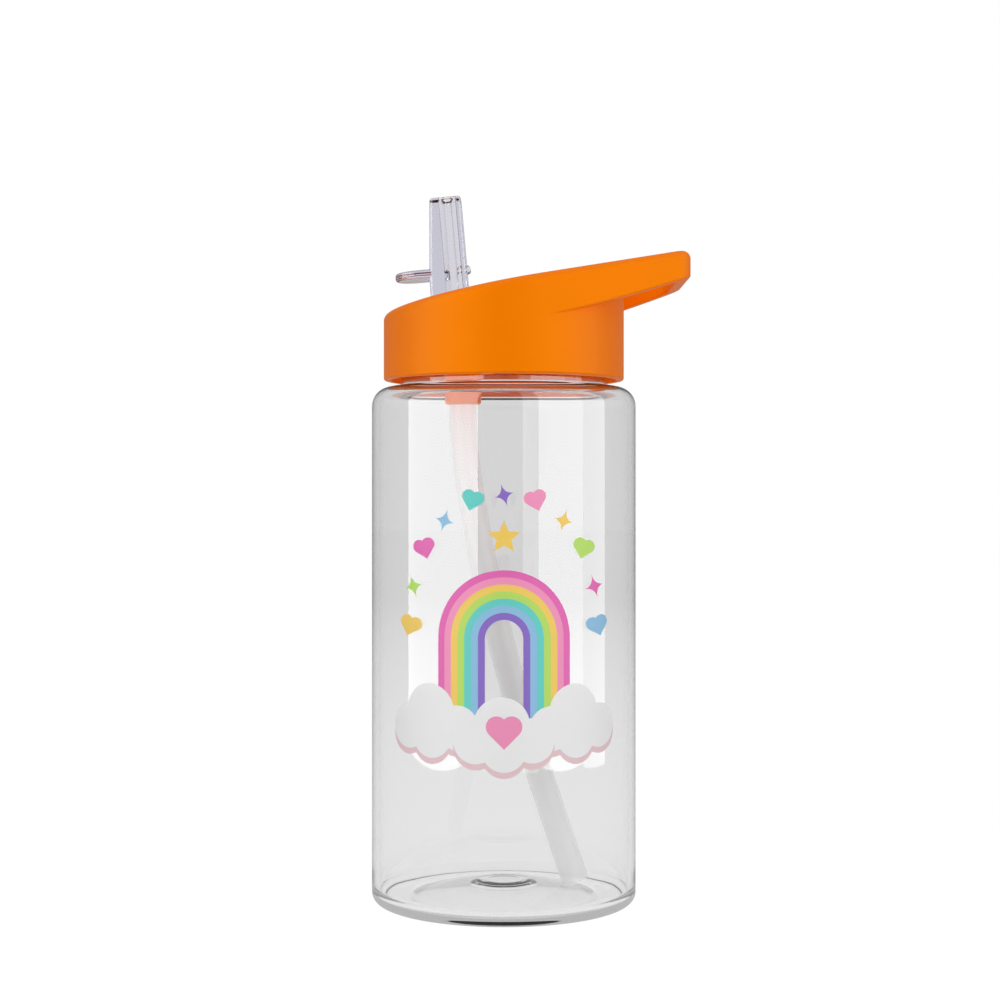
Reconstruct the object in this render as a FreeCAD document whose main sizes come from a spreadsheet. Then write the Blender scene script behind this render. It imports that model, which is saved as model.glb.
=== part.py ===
"""Kids' water bottle: clear screw-neck bottle, sloping carry-loop lid, flip-up spout and straw.

Millimetres. +Z is up the bottle's axis, the origin is on the axis at the standing plane,
+X points to the carry loop, and +Y is along the spout's hinge axis.
"""
import FreeCAD, Part

import math
import os
import re

import Sketcher
from FreeCAD import Placement, Rotation, Vector

os.makedirs("parts", exist_ok=True)
doc = FreeCAD.newDocument("KidsWaterBottle")
sheet = doc.addObject("Spreadsheet::Sheet", "Dims")

# Driving dimensions: alias, value, meaning
DIMENSIONS = [
    ("body_radius", 34.8, "outside of the straight body"),
    ("body_wall", 1.8, "wall of the blown body"),
    ("base_corner", 2.8, "outer radius between base and body"),
    ("shoulder_top", 135.5, "height of the flat shoulder"),
    ("shoulder_corner", 5.0, "outer radius between body and shoulder"),
    ("ring_inner", 24.0, "inner radius of the standing ring"),
    ("push_up", 3.2, "rise of the push-up base at the button's edge"),
    ("push_up_arc", 60.0, "radius of the push-up's dished flank"),
    ("button_radius", 7.2, "round button in the middle of the base"),
    ("button_step", 0.6, "height of the button over the push-up"),
    ("neck_radius", 27.2, "outside of the neck between threads"),
    ("neck_top", 148.2, "rim of the neck"),
    ("thread_pitch", 4.0, "lift of the lid for one turn"),
    ("thread_turns", 1.25, "length of each thread ridge in turns"),
    ("thread_depth", 1.7, "height of a thread ridge"),
    ("thread_root", 2.3, "axial width of a ridge at its foot"),
    ("thread_crest", 1.2, "axial width of a ridge at its crest"),
    ("thread_sink", 0.4, "how far a ridge's foot is set into its wall"),
    ("neck_thread_start", 141.0, "height of the neck ridge's lower end"),
    ("lid_thread_clock", 40.0, "angle from +X where the lid's ridge starts"),
    ("lid_radius", 31.7, "outside of the lid's skirt"),
    ("lid_base", 137.3, "lower edge of the skirt"),
    ("lid_edge_round", 0.6, "radius on the skirt's lower edge"),
    ("lid_bore", 29.8, "inside of the skirt between threads"),
    ("lid_block_top", 176.0, "top of the lid's block before the deck is cut"),
    ("gasket_seat", 149.6, "underside that the gasket bears on"),
    ("crown_bore", 24.6, "inside radius of the hollow above the gasket seat"),
    ("deck_height", 160.8, "height of the sloping deck on the bottle's axis"),
    ("deck_angle", 11.1, "slope of the deck, rising to the carry loop"),
    ("deck_wall", 2.4, "thickness of the deck"),
    ("rim_round", 2.0, "radius round the deck's outer edge"),
    ("loop_start_x", 10.0, "where each arm leaves the skirt as its tangent, along X"),
    ("loop_end_x", 48.0, "end of the carry loop"),
    ("loop_corner", 4.6, "plan radius of the loop's outer corners"),
    ("loop_arm", 4.35, "width of an arm, across X"),
    ("loop_band", 3.6, "thickness of the loop's end band"),
    ("loop_hole_start", 19.0, "inner end of the finger hole's outline, inside the skirt"),
    ("loop_hole_corner", 4.0, "radius of the finger hole's corners"),
    ("loop_low", 150.8, "height of the arms' underside where they leave the skirt"),
    ("loop_low_x", 7.0, "X of that point"),
    ("loop_high", 163.4, "height of the underside at the loop's end"),
    ("loop_under_arc", 400.0, "radius of the underside's curve"),
    ("loop_round", 0.6, "radius along the loop's lower edges"),
    ("hole_round", 1.0, "radius along the finger hole's upper edges"),
    ("channel_round", 0.8, "radius along the spout channel's upper edges"),
    ("pivot_x", -10.8, "spout hinge axis, X"),
    ("pivot_z", 150.0, "spout hinge axis, Z"),
    ("spout_lean", 5.0, "lean of the open spout away from the loop"),
    ("spout_swing", 82.0, "angle from open to closed"),
    ("barrel_radius", 5.6, "spout's barrel"),
    ("barrel_gap", 0.3, "clearance round the barrel"),
    ("barrel_length", 13.2, "barrel's length along the hinge axis"),
    ("trunnion_radius", 2.0, "hinge pins on the barrel's ends"),
    ("trunnion_length", 2.8, "length of each hinge pin"),
    ("trunnion_gap", 0.06, "running clearance round the hinge pins"),
    ("trunnion_slack", 0.3, "gap past each hinge pin's end"),
    ("ear_radius", 4.8, "material round each hinge pin's socket"),
    ("ear_reach", 1.7, "material past each hinge pin's end"),
    ("mouth_top", 35.5, "spout's end above the hinge axis"),
    ("mouth_face", 2.6, "spout's loop-side face from the hinge axis"),
    ("mouth_wide", 11.8, "spout's width along the hinge axis"),
    ("mouth_round", 0.9, "radius on the spout's outer edges"),
    ("back_head", 5.65, "reach of the spout's back face from the hinge axis at the mouth"),
    ("back_tab", 7.45, "that reach just below the thumb tab"),
    ("back_foot", 7.6, "that reach at the foot"),
    ("foot_height", 7.8, "height of the foot over the hinge axis"),
    ("foot_root", 4.5, "reach where the foot runs into the barrel"),
    ("mouth_bore_x", -1.1, "middle of the mouth's bore from the hinge axis"),
    ("mouth_bore_thick", 4.8, "that bore across its narrow side"),
    ("mouth_bore_wide", 8.0, "that bore across its wide side"),
    ("mouth_bore_floor", 2.2, "height of that bore's floor over the hinge axis"),
    ("bore_radius", 2.1, "drinking bore through the barrel"),
    ("tab_reach", 16.5, "thumb tab's reach from the hinge axis"),
    ("tab_low", 14.75, "thumb tab's underside over the hinge axis"),
    ("tab_thick", 2.2, "thumb tab's thickness"),
    ("tab_round", 0.8, "radius round the thumb tab's edges"),
    ("nub_radius", 0.93, "vent rib on the spout's loop-side face"),
    ("nub_height", 16.5, "vent rib over the hinge axis"),
    ("nub_length", 5.0, "vent rib's length"),
    ("channel_half", 7.1, "half width of the channel that the spout folds into"),
    ("channel_wall", 2.0, "wall round that channel"),
    ("channel_start", -20.9, "channel's end behind the hinge"),
    ("channel_end", 27.0, "channel's end under the loop side"),
    ("channel_ledge", 152.2, "channel's floor behind the hinge"),
    ("channel_drop", 4.6, "depth of the channel's floor below the closed spout's axis"),
    ("housing_radius", 8.6, "boss round the seal under the channel"),
    ("housing_base", 139.4, "underside of that boss"),
    ("housing_top", 147.2, "top of that boss, under the hinge pins"),
    ("stub_radius", 4.8, "straw stub under the lid"),
    ("stub_base", 131.1, "lower end of the straw stub"),
    ("stub_round", 0.8, "radius on the stub's lower edge"),
    ("straw_radius", 3.6, "outside of the straw"),
    ("straw_wall", 0.8, "wall of the straw"),
    ("straw_fit", 0.05, "clearance of the straw in its stub"),
    ("straw_seat", 140.2, "shoulder that the straw butts against"),
    ("straw_bend_1", 8.7, "first gentle turn of the straw"),
    ("straw_arc_1", 132.0, "radius of the first turn"),
    ("straw_bend_2", 9.8, "second gentle turn"),
    ("straw_arc_2", 470.0, "radius of the second turn"),
    ("straw_end", 5.5, "height of the middle of the straw's lower end"),
    ("seal_seat", 141.6, "floor of the spout seal's pocket"),
    ("seal_radius", 4.4, "outside of the spout seal"),
    ("seal_bore", 2.5, "hole through the spout seal"),
    ("seal_fit", 0.05, "slack round the seal in its pocket"),
    ("seal_gap", 0.15, "gap between the seal and the barrel"),
    ("gasket_inner", 25.2, "lid gasket's inside radius"),
    ("gasket_outer", 29.3, "lid gasket's outside radius"),
    ("gasket_slack", 0.05, "gap above and below the relaxed gasket"),
    ("vent_hole", 1.3, "vent hole in the channel's floor"),
    ("vent_head", 2.6, "radius of the vent valve's head"),
    ("vent_head_thick", 0.7, "thickness of that head"),
    ("vent_bulb", 1.9, "radius of the bulb that holds the valve in"),
    ("vent_bulb_height", 1.6, "height of that bulb"),
    ("vent_fit", 0.05, "slack round the valve's stem and under its head"),
    ("vent_bulb_gap", 0.1, "gap between the bulb and the floor's underside"),
    ("vent_head_rim", 0.42, "height of the head's rim over the floor"),
    ("vent_dome", 1.82, "radius where the head's flat top starts"),
    ("vent_drill", 12.0, "length of the drilled vent hole"),
    ("cut_through", 140.0, "length of a cut that passes through everything"),
]
for row, (alias, number, meaning) in enumerate(DIMENSIONS, start=1):
    sheet.set(f"A{row}", meaning)
    sheet.set(f"B{row}", str(number))
    sheet.setAlias(f"B{row}", alias)
doc.recompute()

ALIASES = re.compile(r"\b(" + "|".join(alias for alias, _, _ in DIMENSIONS) + r")\b")


def linked(expression):
    """The expression with every alias pointing at the sheet."""
    return ALIASES.sub(r"Dims.\1", expression)


def number(expression):
    """The present value of an expression in sheet aliases."""
    result = sheet.evalExpression(expression)
    return float(getattr(result, "Value", result))


def bind(item, prop, expression):
    item.setExpression(prop, linked(expression))


def new_body(label):
    body = doc.addObject("PartDesign::Body", label)
    body.Label = label
    return body


def new_sketch(body, name, role, height=None):
    """A sketch on one of the body's origin planes, lifted along its normal by height."""
    sketch = body.newObject("Sketcher::SketchObject", name)
    plane = next(f for f in body.Origin.OriginFeatures if f.Role == role)
    sketch.AttachmentSupport = [(plane, "")]
    sketch.MapMode = "FlatFace"
    if height:
        bind(sketch, "AttachmentOffset.Base.z", height)
    return sketch


def pin_vertex(sketch, geometry, end, point):
    """Holds one end of a segment at two expressions from the sketch's origin."""
    for kind, expression in zip(("DistanceX", "DistanceY"), point):
        at = sketch.addConstraint(Sketcher.Constraint(kind, -1, 1, geometry, end, number(expression)))
        sketch.setExpression(f"Constraints[{at}]", linked(expression))


def draw_outline(sketch, vertices, closed=True):
    """Lines and arcs through vertices (x, y) or (x, y, radius, turn) with turn +1 for a left arc.

    The radius and turn describe the segment that arrives at that vertex. A half circle is held
    by its centre, because its radius already follows from its ends.
    """
    spots = [Vector(number(v[0]), number(v[1]), 0) for v in vertices]
    first = sketch.GeometryCount
    count = len(vertices) if closed else len(vertices) - 1
    for index in range(count):
        start, end = spots[index], spots[(index + 1) % len(spots)]
        target = vertices[(index + 1) % len(vertices)]
        if len(target) == 2:
            sketch.addGeometry(Part.LineSegment(start, end), False)
            ends = (1, 2)
        else:
            radius, turn = number(target[2]), target[3]
            chord = end - start
            lift = math.sqrt(max(radius ** 2 - (chord.Length / 2) ** 2, 0.0))
            left = Vector(-chord.y, chord.x, 0).normalize()
            middle = (start + end) * 0.5 + left * (lift * turn)
            angles = [math.atan2(p.y - middle.y, p.x - middle.x) for p in (start, end)]
            ends = (1, 2) if turn > 0 else (2, 1)
            angles = angles if turn > 0 else angles[::-1]
            circle = Part.Circle(middle, Vector(0, 0, 1), radius)
            sketch.addGeometry(Part.ArcOfCircle(circle, angles[0], angles[1]), False)
        pin_vertex(sketch, first + index, ends[0], vertices[index])
        if index:
            sketch.addConstraint(
                Sketcher.Constraint("Coincident", first + index - 1, previous_end, first + index, ends[0]))
        if len(target) > 2 and lift < 1e-6:
            across = 1 if abs(chord.x) > abs(chord.y) else 0
            kind = ("DistanceX", "DistanceY")[across]
            at = sketch.addConstraint(
                Sketcher.Constraint(kind, -1, 1, first + index, 3, number(target[across])))
            sketch.setExpression(f"Constraints[{at}]", linked(target[across]))
        elif len(target) > 2:
            at = sketch.addConstraint(Sketcher.Constraint("Radius", first + index, radius))
            sketch.setExpression(f"Constraints[{at}]", linked(target[2]))
        previous_end = ends[1]
        if index == 0:
            opening = ends[0]
    if closed:
        sketch.addConstraint(
            Sketcher.Constraint("Coincident", first + count - 1, previous_end, first, opening))
    else:
        pin_vertex(sketch, first + count - 1, previous_end, vertices[-1])


def draw_circle(sketch, radius, centre=("0", "0")):
    spot = Vector(number(centre[0]), number(centre[1]), 0)
    at = sketch.addGeometry(Part.Circle(spot, Vector(0, 0, 1), number(radius)), False)
    pin_vertex(sketch, at, 3, centre)
    rule = sketch.addConstraint(Sketcher.Constraint("Radius", at, number(radius)))
    sketch.setExpression(f"Constraints[{rule}]", linked(radius))


def revolve(body, name, vertices, cut=False):
    """A full turn of an XZ outline about Z."""
    sketch = new_sketch(body, name + "_outline", "XZ_Plane")
    draw_outline(sketch, vertices)
    kind = "PartDesign::Groove" if cut else "PartDesign::Revolution"
    feature = body.newObject(kind, name)
    feature.Profile = sketch
    feature.ReferenceAxis = (sketch, ["V_Axis"])
    feature.Angle = 360
    return feature


def extrude(body, name, sketch, length, cut=False, both_ways=False, backwards=False):
    feature = body.newObject("PartDesign::Pocket" if cut else "PartDesign::Pad", name)
    feature.Profile = sketch
    bind(feature, "Length", length)
    if both_ways:
        feature.Midplane = True
    if backwards:
        feature.Reversed = True
    return feature


def side_cut(body, name, vertices, width="cut_through"):
    """A cut of an XZ outline, half of its width to each side of the middle plane."""
    sketch = new_sketch(body, name + "_outline", "XZ_Plane")
    draw_outline(sketch, vertices)
    return extrude(body, name, sketch, width, cut=True, both_ways=True)


def side_pad(body, name, vertices, width):
    sketch = new_sketch(body, name + "_outline", "XZ_Plane")
    draw_outline(sketch, vertices)
    return extrude(body, name, sketch, width, both_ways=True)


def round_edges(body, name, base, radius, wanted):
    """A fillet on every edge of the base feature that the test picks out."""
    doc.recompute()
    names = [f"Edge{i}" for i, edge in enumerate(base.Shape.Edges, start=1) if wanted(edge)]
    fillet = body.newObject("PartDesign::Fillet", name)
    fillet.Base = (base, names)
    bind(fillet, "Radius", radius)
    return fillet


def thread_ridge(label, wall, start, outward, clock="0"):
    """A right-hand helical ridge on a wall of the given radius, pointing in or out.

    The ridge starts at the clock angle, and the height there is start plus its share of the pitch.
    """
    body = new_body(label)
    start = f"({start} + thread_pitch * {clock} / 360)"
    sketch = new_sketch(body, label + "_section", "XZ_Plane")
    sign = "+" if outward else "-"
    back = "-" if outward else "+"
    foot = f"{wall} {back} thread_sink"
    crest = f"{wall} {sign} thread_depth"
    draw_outline(sketch, [
        (foot, f"{start} - thread_root / 2"),
        (crest, f"{start} - thread_crest / 2"),
        (crest, f"{start} + thread_crest / 2"),
        (foot, f"{start} + thread_root / 2"),
    ])
    helix = body.newObject("PartDesign::AdditiveHelix", label + "_helix")
    helix.Profile = sketch
    helix.ReferenceAxis = (sketch, ["V_Axis"])
    helix.Mode = 1
    bind(helix, "Pitch", "thread_pitch")
    bind(helix, "Turns", "thread_turns")
    body.Placement = Placement(Vector(), Rotation(Vector(0, 0, 1), number(clock)))
    return body


def fuse(label, *pieces):
    joined = doc.addObject("Part::MultiFuse", label)
    joined.Shapes = list(pieces)
    joined.Label = label
    return joined


# ---------------------------------------------------------------- bottle body
def make_bottle_body():
    shell = new_body("bottle_shell")
    inside = "body_radius - body_wall"
    revolve(shell, "wall", [
        ("0", "push_up + button_step"),
        ("button_radius", "push_up + button_step"),
        ("button_radius", "push_up"),
        ("ring_inner", "0", "push_up_arc", -1),
        ("body_radius - base_corner", "0"),
        ("body_radius", "base_corner", "base_corner", 1),
        ("body_radius", "shoulder_top - shoulder_corner"),
        ("body_radius - shoulder_corner", "shoulder_top", "shoulder_corner", 1),
        ("neck_radius", "shoulder_top"),
        ("neck_radius", "neck_top"),
        ("neck_radius - body_wall", "neck_top"),
        ("neck_radius - body_wall", "shoulder_top - body_wall"),
        ("body_radius - shoulder_corner", "shoulder_top - body_wall"),
        (inside, "shoulder_top - shoulder_corner", "shoulder_corner - body_wall", -1),
        (inside, "base_corner"),
        ("body_radius - base_corner", "body_wall", "base_corner - body_wall", -1),
        ("ring_inner", "body_wall"),
        ("button_radius", "push_up + body_wall", "push_up_arc", 1),
        ("button_radius", "push_up + button_step + body_wall"),
        ("0", "push_up + button_step + body_wall"),
    ])
    ridge = thread_ridge("neck_thread", "neck_radius", "neck_thread_start", outward=True)
    return fuse("bottle_body", shell, ridge)


# ---------------------------------------------------------------- lid
LOOP_START_Y = "sqrt(lid_radius ^ 2 - loop_start_x ^ 2)"
LOOP_TAPER = f"(loop_start_x / {LOOP_START_Y})"
LOOP_LEAN = f"atan({LOOP_TAPER})"


def deck_at(x, below="0"):
    """Height of the deck's plane over X, or of a plane a little below it."""
    return f"deck_height + tan(deck_angle * 1 deg) * ({x}) - ({below}) / cos(deck_angle * 1 deg)"


CLOSED = "(90 deg - (spout_swing - spout_lean) * 1 deg)"


def floor_at(x, below="0"):
    """Height of the channel's floor over X, or of its underside."""
    drop = f"(channel_drop + {below}) / cos({CLOSED})"
    return f"pivot_z - {drop} + tan({CLOSED}) * ({x} - (pivot_x))"


def channel_outline(wall):
    """The channel's side view, grown by a wall on every side but the top."""
    radius = f"barrel_radius + barrel_gap + {wall}"
    start = f"channel_start - {wall}"
    end = f"channel_end + {wall}"
    drop = f"(channel_drop + {wall})"
    run = f"sqrt(({radius}) ^ 2 - {drop} ^ 2)"
    return [
        (start, "lid_block_top"),
        (start, f"channel_ledge - {wall}"),
        (f"pivot_x - sqrt(({radius}) ^ 2 - (pivot_z - channel_ledge + {wall}) ^ 2)",
         f"channel_ledge - {wall}"),
        ("pivot_x", f"pivot_z - ({radius})", radius, 1),
        (f"pivot_x + {drop} * sin({CLOSED}) + {run} * cos({CLOSED})",
         f"pivot_z - {drop} * cos({CLOSED}) + {run} * sin({CLOSED})", radius, 1),
        (end, floor_at(end, wall)),
        (end, "lid_block_top"),
    ]


def make_lid_block():
    """The outside of the lid: skirt, sloping deck and carry loop."""
    lid = new_body("lid_block")
    plan = new_sketch(lid, "loop_plan", "XY_Plane", "lid_base")
    reach = f"tan((90 deg - {LOOP_LEAN}) / 2)"
    arm_end = f"{LOOP_START_Y} - {LOOP_TAPER} * (loop_end_x - loop_start_x)"
    back = f"loop_corner * {reach} * cos({LOOP_LEAN})"
    draw_outline(plan, [
        ("loop_start_x", f"-{LOOP_START_Y}"),
        (f"loop_end_x - {back}", f"-({arm_end} + {LOOP_TAPER} * {back})"),
        ("loop_end_x", f"-({arm_end} - loop_corner * {reach})", "loop_corner", 1),
        ("loop_end_x", f"{arm_end} - loop_corner * {reach}"),
        (f"loop_end_x - {back}", f"{arm_end} + {LOOP_TAPER} * {back}", "loop_corner", 1),
        ("loop_start_x", LOOP_START_Y),
    ])
    hole_x = "loop_end_x - loop_band"
    hole_y = f"{arm_end} - loop_arm + {LOOP_TAPER} * loop_band"
    slip = f"loop_hole_corner * {reach} * cos({LOOP_LEAN})"
    inner_y = f"{LOOP_START_Y} - {LOOP_TAPER} * (loop_hole_start - loop_start_x) - loop_arm"
    draw_outline(plan, [
        ("loop_hole_start", f"-({inner_y})"),
        ("loop_hole_start", inner_y),
        (f"{hole_x} - {slip}", f"{hole_y} + {LOOP_TAPER} * {slip}"),
        (hole_x, f"{hole_y} - loop_hole_corner * {reach}", "loop_hole_corner", -1),
        (hole_x, f"-({hole_y} - loop_hole_corner * {reach})"),
        (f"{hole_x} - {slip}", f"-({hole_y} + {LOOP_TAPER} * {slip})", "loop_hole_corner", -1),
    ])
    extrude(lid, "loop_block", plan, "lid_block_top - lid_base")
    underside = side_cut(lid, "loop_underside", [
        ("loop_low_x", "lid_base - 1"),
        ("loop_end_x + 1", "lid_base - 1"),
        ("loop_end_x + 1", "loop_high"),
        ("loop_low_x", "loop_low", "loop_under_arc", -1),
    ])

    def under_loop(edge):
        ends = edge.Vertexes
        low = all(v.Z < number("loop_high") + 1 for v in ends)
        at_start = all(v.X < number("loop_hole_start") + 0.01 for v in ends)
        return low and not at_start

    round_edges(lid, "loop_fillet", underside, "loop_round", under_loop)
    revolve(lid, "skirt_block", [
        ("0", "lid_base"),
        ("lid_radius - lid_edge_round", "lid_base"),
        ("lid_radius", "lid_base + lid_edge_round", "lid_edge_round", 1),
        ("lid_radius", "lid_block_top"),
        ("0", "lid_block_top"),
    ])
    deck = side_cut(lid, "deck_slope", [
        ("-lid_radius - 2", deck_at("-lid_radius - 2")),
        ("loop_end_x + 2", deck_at("loop_end_x + 2")),
        ("loop_end_x + 2", "lid_block_top + 2"),
        ("-lid_radius - 2", "lid_block_top + 2"),
    ])
    slope = math.tan(math.radians(number("deck_angle")))

    def on_deck(edge):
        return all(abs(v.Z - number("deck_height") - slope * v.X) < 0.001 for v in edge.Vertexes)

    def at_hole(edge):
        reach = max(abs(v.Y) for v in edge.Vertexes)
        inside_arms = reach < number(inner_y) + 0.01
        return edge.CenterOfMass.x > number("loop_hole_start") and inside_arms and all(
            v.X < number(hole_x) + 0.01 for v in edge.Vertexes)

    def beyond_skirt(edge):
        return edge.CenterOfMass.x > number("lid_radius")

    rim = round_edges(lid, "rim_fillet", deck, "rim_round",
                      lambda edge: on_deck(edge) and not at_hole(edge))
    round_edges(lid, "hole_rim_fillet", rim, "hole_round",
                lambda edge: on_deck(edge) and at_hole(edge) and beyond_skirt(edge))
    channel = side_cut(lid, "spout_channel", channel_outline("0"), "channel_half * 2")

    def at_channel(edge):
        return on_deck(edge) and all(abs(v.Y) < number("channel_half") + 0.01 for v in edge.Vertexes)

    round_edges(lid, "channel_fillet", channel, "channel_round", at_channel)
    for side, turn in (("front", False), ("back", True)):
        socket = new_sketch(lid, f"trunnion_socket_{side}", "XZ_Plane")
        draw_circle(socket, "trunnion_radius + trunnion_gap", ("pivot_x", "pivot_z"))
        extrude(lid, f"trunnion_bore_{side}", socket,
                "barrel_length / 2 + trunnion_length + trunnion_slack", cut=True, backwards=turn)
    return lid


def make_lid_core():
    """The space under the lid: neck socket and crown, less the channel's wall, boss and stub."""
    core = new_body("lid_core")
    revolve(core, "hollow", [
        ("0", "stub_base - 2"),
        ("lid_bore", "stub_base - 2"),
        ("lid_bore", "gasket_seat"),
        ("crown_bore", "gasket_seat"),
        ("crown_bore", "lid_block_top"),
        ("0", "lid_block_top"),
    ])
    side_cut(core, "under_deck", [
        ("-lid_radius", deck_at("-lid_radius", "deck_wall")),
        ("lid_radius", deck_at("lid_radius", "deck_wall")),
        ("lid_radius", "lid_block_top + 5"),
        ("-lid_radius", "lid_block_top + 5"),
    ])
    side_cut(core, "under_channel", channel_outline("channel_wall"),
             "(channel_half + channel_wall) * 2")
    ears = new_sketch(core, "ears_outline", "XZ_Plane")
    draw_circle(ears, "ear_radius", ("pivot_x", "pivot_z"))
    extrude(core, "trunnion_ears", ears, "barrel_length + (trunnion_length + ear_reach) * 2",
            cut=True, both_ways=True)
    return core


def make_stub():
    """The boss round the spout seal and the straw stub under it, on the straw's own axis."""
    stub = new_body("straw_stub")
    revolve(stub, "stub_solid", [
        ("0", "stub_base"),
        ("stub_radius - stub_round", "stub_base"),
        ("stub_radius", "stub_base + stub_round", "stub_round", 1),
        ("stub_radius", "housing_base"),
        ("housing_radius", "housing_base"),
        ("housing_radius", "housing_top"),
        ("0", "housing_top"),
    ])
    revolve(stub, "seal_pocket", [
        ("0", "seal_seat"),
        ("seal_radius", "seal_seat"),
        ("seal_radius", "pivot_z"),
        ("0", "pivot_z"),
    ], cut=True)
    revolve(stub, "straw_bore", [
        ("0", "stub_base - 1"),
        ("straw_radius + straw_fit", "stub_base - 1"),
        ("straw_radius + straw_fit", "straw_seat"),
        ("seal_bore", "straw_seat"),
        ("seal_bore", "seal_seat + 1"),
        ("0", "seal_seat + 1"),
    ], cut=True)
    barrel = new_sketch(stub, "barrel_clearance_outline", "XZ_Plane")
    draw_circle(barrel, "barrel_radius + barrel_gap", ("0", "pivot_z"))
    extrude(stub, "barrel_clearance", barrel, "channel_half * 2", cut=True, both_ways=True)
    bind(stub, "Placement.Base.x", "pivot_x")
    return stub


def make_lid():
    block = make_lid_block()
    core = make_lid_core()
    stub = make_stub()
    hollowed = doc.addObject("Part::Cut", "lid_hollowed")
    hollowed.Base = block
    hollowed.Tool = core
    well = doc.addObject("Part::Cylinder", "seal_well")
    bind(well, "Radius", "seal_radius")
    bind(well, "Height", "pivot_z - seal_seat")
    bind(well, "Placement.Base.x", "pivot_x")
    bind(well, "Placement.Base.z", "seal_seat")
    open_floor = doc.addObject("Part::Cut", "lid_open_floor")
    open_floor.Base = hollowed
    open_floor.Tool = well
    vent = doc.addObject("Part::Cylinder", "vent_bore")
    bind(vent, "Radius", "vent_hole")
    bind(vent, "Height", "vent_drill")
    vent.Placement = vent_placement(-number("vent_drill") / 2)
    vented = doc.addObject("Part::Cut", "lid_vented")
    vented.Base = open_floor
    vented.Tool = vent
    ridge = thread_ridge("lid_thread", "lid_bore", "neck_thread_start - thread_pitch / 2",
                         outward=False, clock="lid_thread_clock")
    return fuse("lid_cap", vented, stub, ridge)


# ---------------------------------------------------------------- vent valve
def vent_placement(along):
    """A frame on the channel's floor where the vent rib lands, moved along the floor's normal."""
    closed = math.radians(90 - number("spout_swing") + number("spout_lean"))
    normal = Vector(-math.sin(closed), 0, math.cos(closed))
    run = Vector(math.cos(closed), 0, math.sin(closed))
    pivot = Vector(number("pivot_x"), 0, number("pivot_z"))
    spot = pivot + run * number("nub_height") - normal * number("channel_drop") + normal * along
    return Placement(spot, Rotation(Vector(0, 1, 0), -math.degrees(closed)))


def make_vent_valve():
    valve = new_body("vent_valve")
    stem = "vent_hole - vent_fit"
    bulb_top = "-(channel_wall + vent_bulb_gap)"
    revolve(valve, "valve", [
        ("0", "-(channel_wall + vent_bulb_height)"),
        (stem, "-(channel_wall + vent_bulb_height)"),
        ("vent_bulb", bulb_top),
        (stem, bulb_top),
        (stem, "vent_fit"),
        ("vent_head", "vent_fit"),
        ("vent_head", "vent_head_rim"),
        ("vent_dome", "vent_head_thick"),
        ("0", "vent_head_thick"),
    ])
    valve.Placement = vent_placement(0)
    return valve


# ---------------------------------------------------------------- spout
def make_thumb_tab():
    """The plate that lifts the spout, rounded along its free edges."""
    plate = new_body("thumb_tab")
    outline = new_sketch(plate, "tab_plan", "XY_Plane", "tab_low")
    end = "mouth_wide / 2"
    root = "-back_head + mouth_round"
    draw_outline(outline, [
        (root, f"-({end})"),
        (root, end),
        (f"-tab_reach + {end}", end),
        (f"-tab_reach + {end}", f"-({end})", end, 1),
    ])
    pad = extrude(plate, "tab", outline, "tab_thick")

    def free_rim(edge):
        level = abs(edge.Vertexes[0].Z - edge.Vertexes[-1].Z) < 0.001
        return level and edge.CenterOfMass.x < number(root) - 0.01

    round_edges(plate, "tab_fillet", pad, "tab_round", free_rim)
    return plate


def make_flip_spout():
    """Modelled with its hinge axis at the origin and its bore along Z, then leaned and placed."""
    spout = new_body("spout_block")
    block = side_pad(spout, "mouth_block", [
        ("mouth_face", "0"),
        ("mouth_face", "mouth_top"),
        ("-back_head", "mouth_top"),
        ("-back_tab", "tab_low"),
        ("-back_foot", "foot_height"),
        ("-foot_root", "foot_root / 2"),
        ("-foot_root", "0"),
    ], "mouth_wide")

    half = number("mouth_wide") / 2
    foot, top = number("foot_height"), number("mouth_top")

    def mouth_edge(edge):
        """The mouth's rim and the four long edges, but not the creases across the back."""
        ends = edge.Vertexes
        rim = all(v.Z > top - 0.01 for v in ends)
        along = abs(ends[0].Y - ends[1].Y) < 0.01 and edge.Length > half
        return rim or (along and max(v.Z for v in ends) > foot + 0.01)

    round_edges(spout, "mouth_fillet", block, "mouth_round", mouth_edge)
    barrel = new_sketch(spout, "barrel_outline", "XZ_Plane")
    draw_circle(barrel, "barrel_radius")
    extrude(spout, "barrel", barrel, "barrel_length", both_ways=True)
    pins = new_sketch(spout, "trunnion_outline", "XZ_Plane")
    draw_circle(pins, "trunnion_radius")
    extrude(spout, "trunnions", pins, "barrel_length + trunnion_length * 2", both_ways=True)
    nub = new_sketch(spout, "nub_outline", "XZ_Plane")
    draw_circle(nub, "nub_radius", ("mouth_face", "nub_height"))
    extrude(spout, "vent_rib", nub, "nub_length", both_ways=True)
    radius = "mouth_bore_thick / 2"
    flat = f"mouth_bore_wide / 2 - {radius}"
    mouth = new_sketch(spout, "mouth_section", "XY_Plane", "mouth_bore_floor")
    draw_outline(mouth, [
        (f"mouth_bore_x - {radius}", f"-({flat})"),
        (f"mouth_bore_x + {radius}", f"-({flat})", radius, 1),
        (f"mouth_bore_x + {radius}", flat),
        (f"mouth_bore_x - {radius}", flat, radius, 1),
    ])
    extrude(spout, "mouth_bore", mouth, "mouth_top", cut=True, backwards=True)
    drain = new_sketch(spout, "barrel_bore_section", "XY_Plane", "-barrel_radius - 1")
    draw_circle(drain, "bore_radius")
    extrude(spout, "barrel_bore", drain, "barrel_radius + 1 + mouth_bore_floor + 1",
            cut=True, backwards=True)
    whole = fuse("flip_spout", spout, make_thumb_tab())
    whole.Placement = Placement(Vector(number("pivot_x"), 0, number("pivot_z")),
                                Rotation(Vector(0, 1, 0), -number("spout_lean")))
    return whole


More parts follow.
